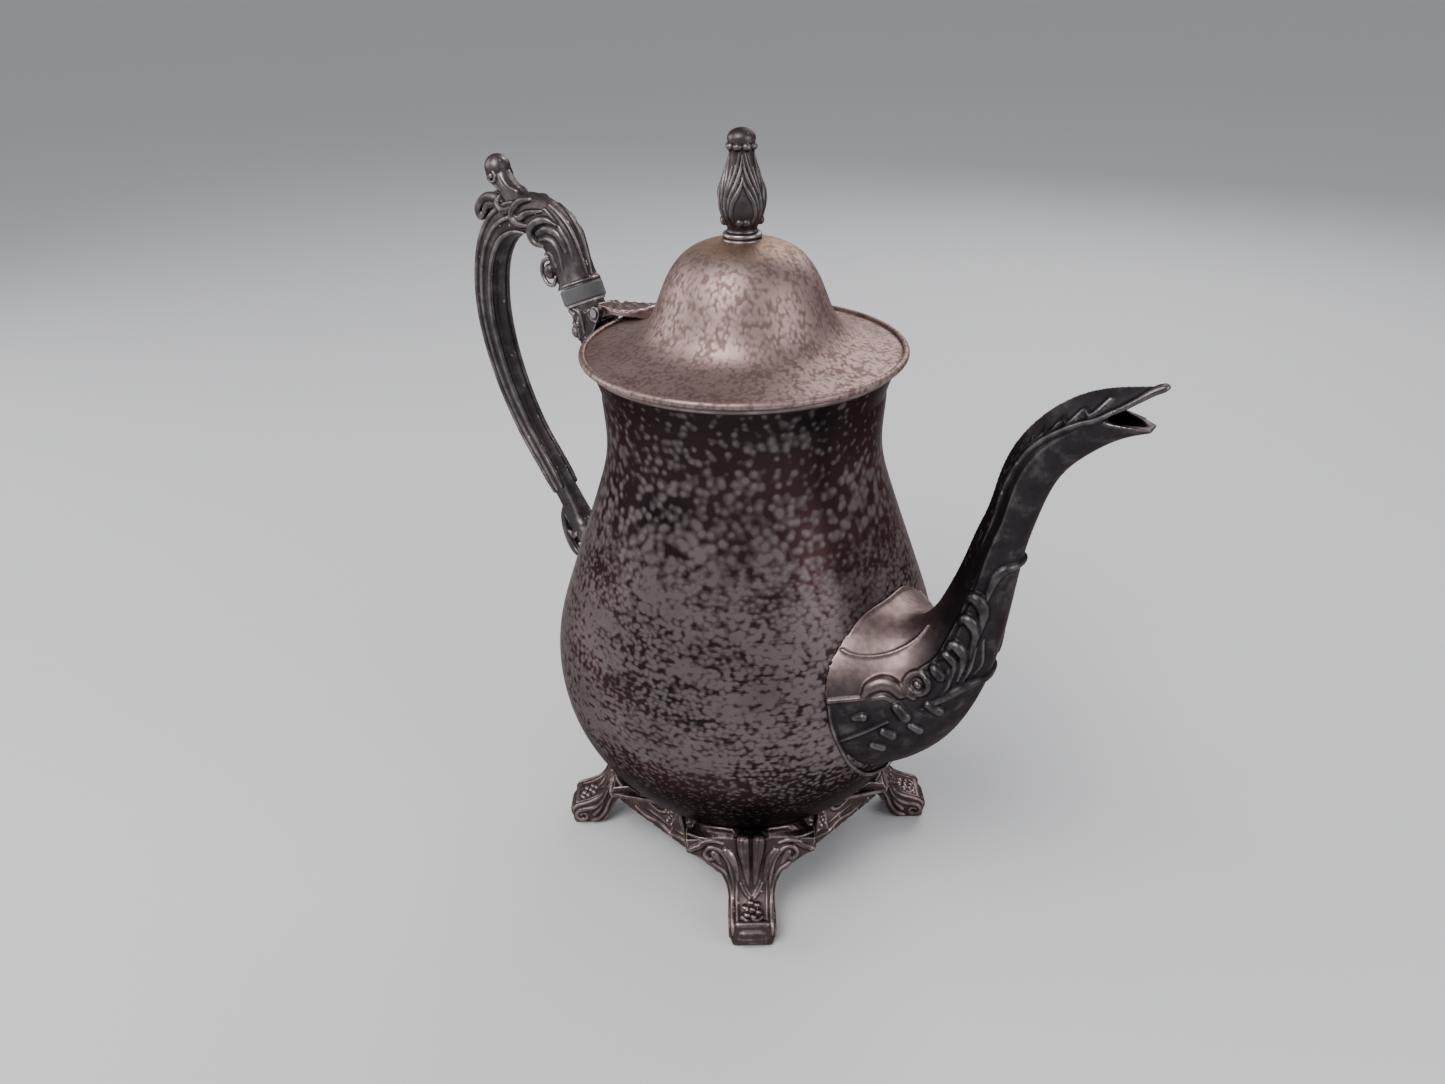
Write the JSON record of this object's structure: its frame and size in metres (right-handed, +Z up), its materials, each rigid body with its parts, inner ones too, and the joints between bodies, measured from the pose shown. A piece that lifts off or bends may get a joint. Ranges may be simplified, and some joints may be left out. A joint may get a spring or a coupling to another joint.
{
  "type": "footed silverplate coffee pot with hinged lid",
  "caption": "Baluster coffee pot on four cast scroll feet, swan-neck spout, scrolled handle with insulators, domed hinged lid with a leafy bud finial.",
  "frame": {"origin": "on the body's upright axis, in the plane the four toes stand on", "axes": "+Z up along the axis of body, lid and finial; +X towards the spout; -X towards the handle; the lid hinge turns about a line along Y"},
  "size_m": [0.2778, 0.1398, 0.268],
  "materials": {
    "body_silverplate": "heavily tarnished silverplate, mottled and streaked",
    "lid_silverplate": "tarnished silverplate, satin",
    "cast_silverplate": "dark tarnished silverplate over castings, bright worn edges",
    "insulator_fibre": "matte fibre",
    "bright_plate": "worn bright",
    "fixing_steel": "plain turned"
  },
  "bodies": {
    "pot": {"body_shell": "body_silverplate", "neck_shell": "body_silverplate", "mouth_wire": "body_silverplate", "foot_front_left": "cast_silverplate", "foot_rear_left": "cast_silverplate", "foot_rear_right": "cast_silverplate", "foot_front_right": "cast_silverplate", "spout": "cast_silverplate", "upper_insulator": "insulator_fibre", "upper_insulator_plate": "bright_plate", "upper_handle_pin": "fixing_steel", "upper_socket_pin": "fixing_steel", "lower_insulator": "insulator_fibre", "lower_insulator_plate": "bright_plate", "lower_handle_pin": "fixing_steel", "lower_socket_pin": "fixing_steel", "upper_socket": "cast_silverplate", "lower_socket": "cast_silverplate", "handle": "cast_silverplate", "hinge_pin": "fixing_steel"},
    "lid": {"lid_shell": "lid_silverplate", "lid_bead": "lid_silverplate", "lid_bezel": "lid_silverplate", "hinge_leaf": "cast_silverplate", "finial_collar": "cast_silverplate", "finial": "cast_silverplate", "finial_washer": "fixing_steel", "finial_nut": "fixing_steel", "finial_stud": "fixing_steel"}
  },
  "joints": [
    {"name": "lid_hinge", "type": "hinge", "parent": "pot", "child": "lid", "pos_m": [-0.0655, 0, 0.2005], "axis": [0, -1, 0], "range_deg": [0, 90]}
  ]
}
